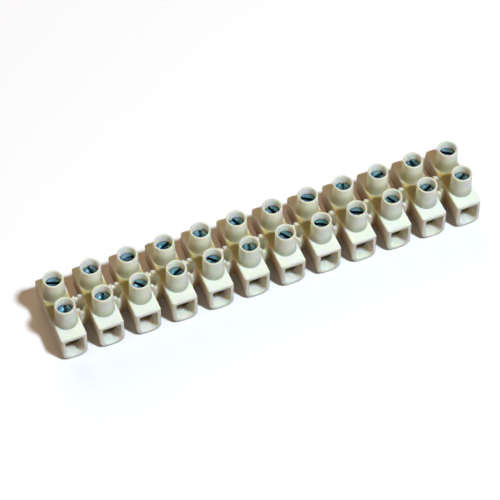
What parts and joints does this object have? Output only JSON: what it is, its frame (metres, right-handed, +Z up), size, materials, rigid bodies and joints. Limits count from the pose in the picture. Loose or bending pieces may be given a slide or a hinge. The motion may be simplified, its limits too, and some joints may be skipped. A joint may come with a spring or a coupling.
{
  "type": "terminal strip",
  "caption": "Moulded strip of screw connectors: plastic tunnels joined by fixing collars, each with a brass insert and two clamping screws in round towers.",
  "frame": {"origin": "centre of the strip's underside, on the ground", "axes": "+X along the strip, +Y along the wires towards the back row of screws, +Z up"},
  "size_m": [0.1168, 0.0204, 0.0154],
  "materials": {
    "housing": "satin off-white nylon, slightly translucent",
    "insert": "drawn brass, dull",
    "screw": "blue zinc plate"
  },
  "bodies": {
    "strip": {"housing": "housing", "insert_01": "insert", "insert_02": "insert", "insert_03": "insert", "insert_04": "insert", "insert_05": "insert", "insert_06": "insert", "insert_07": "insert", "insert_08": "insert", "insert_09": "insert", "insert_10": "insert", "insert_11": "insert", "insert_12": "insert"},
    "screw_front_01": {"screw_front_01": "screw"},
    "screw_front_02": {"screw_front_02": "screw"},
    "screw_front_03": {"screw_front_03": "screw"},
    "screw_front_04": {"screw_front_04": "screw"},
    "screw_front_05": {"screw_front_05": "screw"},
    "screw_front_06": {"screw_front_06": "screw"},
    "screw_front_07": {"screw_front_07": "screw"},
    "screw_front_08": {"screw_front_08": "screw"},
    "screw_front_09": {"screw_front_09": "screw"},
    "screw_front_10": {"screw_front_10": "screw"},
    "screw_front_11": {"screw_front_11": "screw"},
    "screw_front_12": {"screw_front_12": "screw"},
    "screw_back_01": {"screw_back_01": "screw"},
    "screw_back_02": {"screw_back_02": "screw"},
    "screw_back_03": {"screw_back_03": "screw"},
    "screw_back_04": {"screw_back_04": "screw"},
    "screw_back_05": {"screw_back_05": "screw"},
    "screw_back_06": {"screw_back_06": "screw"},
    "screw_back_07": {"screw_back_07": "screw"},
    "screw_back_08": {"screw_back_08": "screw"},
    "screw_back_09": {"screw_back_09": "screw"},
    "screw_back_10": {"screw_back_10": "screw"},
    "screw_back_11": {"screw_back_11": "screw"},
    "screw_back_12": {"screw_back_12": "screw"}
  },
  "joints": [
    {"name": "screw_front_01_slide", "type": "slide", "parent": "strip", "child": "screw_front_01", "axis": [0, 0, 1], "range_m": [-0.0026, 0]},
    {"name": "screw_front_02_slide", "type": "slide", "parent": "strip", "child": "screw_front_02", "axis": [0, 0, 1], "range_m": [-0.0026, 0]},
    {"name": "screw_front_03_slide", "type": "slide", "parent": "strip", "child": "screw_front_03", "axis": [0, 0, 1], "range_m": [-0.0026, 0]},
    {"name": "screw_front_04_slide", "type": "slide", "parent": "strip", "child": "screw_front_04", "axis": [0, 0, 1], "range_m": [-0.0026, 0]},
    {"name": "screw_front_05_slide", "type": "slide", "parent": "strip", "child": "screw_front_05", "axis": [0, 0, 1], "range_m": [-0.0026, 0]},
    {"name": "screw_front_06_slide", "type": "slide", "parent": "strip", "child": "screw_front_06", "axis": [0, 0, 1], "range_m": [-0.0026, 0]},
    {"name": "screw_front_07_slide", "type": "slide", "parent": "strip", "child": "screw_front_07", "axis": [0, 0, 1], "range_m": [-0.0026, 0]},
    {"name": "screw_front_08_slide", "type": "slide", "parent": "strip", "child": "screw_front_08", "axis": [0, 0, 1], "range_m": [-0.0026, 0]},
    {"name": "screw_front_09_slide", "type": "slide", "parent": "strip", "child": "screw_front_09", "axis": [0, 0, 1], "range_m": [-0.0026, 0]},
    {"name": "screw_front_10_slide", "type": "slide", "parent": "strip", "child": "screw_front_10", "axis": [0, 0, 1], "range_m": [-0.0026, 0]},
    {"name": "screw_front_11_slide", "type": "slide", "parent": "strip", "child": "screw_front_11", "axis": [0, 0, 1], "range_m": [-0.0026, 0]},
    {"name": "screw_front_12_slide", "type": "slide", "parent": "strip", "child": "screw_front_12", "axis": [0, 0, 1], "range_m": [-0.0026, 0]},
    {"name": "screw_back_01_slide", "type": "slide", "parent": "strip", "child": "screw_back_01", "axis": [0, 0, 1], "range_m": [-0.0026, 0]},
    {"name": "screw_back_02_slide", "type": "slide", "parent": "strip", "child": "screw_back_02", "axis": [0, 0, 1], "range_m": [-0.0026, 0]},
    {"name": "screw_back_03_slide", "type": "slide", "parent": "strip", "child": "screw_back_03", "axis": [0, 0, 1], "range_m": [-0.0026, 0]},
    {"name": "screw_back_04_slide", "type": "slide", "parent": "strip", "child": "screw_back_04", "axis": [0, 0, 1], "range_m": [-0.0026, 0]},
    {"name": "screw_back_05_slide", "type": "slide", "parent": "strip", "child": "screw_back_05", "axis": [0, 0, 1], "range_m": [-0.0026, 0]},
    {"name": "screw_back_06_slide", "type": "slide", "parent": "strip", "child": "screw_back_06", "axis": [0, 0, 1], "range_m": [-0.0026, 0]},
    {"name": "screw_back_07_slide", "type": "slide", "parent": "strip", "child": "screw_back_07", "axis": [0, 0, 1], "range_m": [-0.0026, 0]},
    {"name": "screw_back_08_slide", "type": "slide", "parent": "strip", "child": "screw_back_08", "axis": [0, 0, 1], "range_m": [-0.0026, 0]},
    {"name": "screw_back_09_slide", "type": "slide", "parent": "strip", "child": "screw_back_09", "axis": [0, 0, 1], "range_m": [-0.0026, 0]},
    {"name": "screw_back_10_slide", "type": "slide", "parent": "strip", "child": "screw_back_10", "axis": [0, 0, 1], "range_m": [-0.0026, 0]},
    {"name": "screw_back_11_slide", "type": "slide", "parent": "strip", "child": "screw_back_11", "axis": [0, 0, 1], "range_m": [-0.0026, 0]},
    {"name": "screw_back_12_slide", "type": "slide", "parent": "strip", "child": "screw_back_12", "axis": [0, 0, 1], "range_m": [-0.0026, 0]}
  ]
}
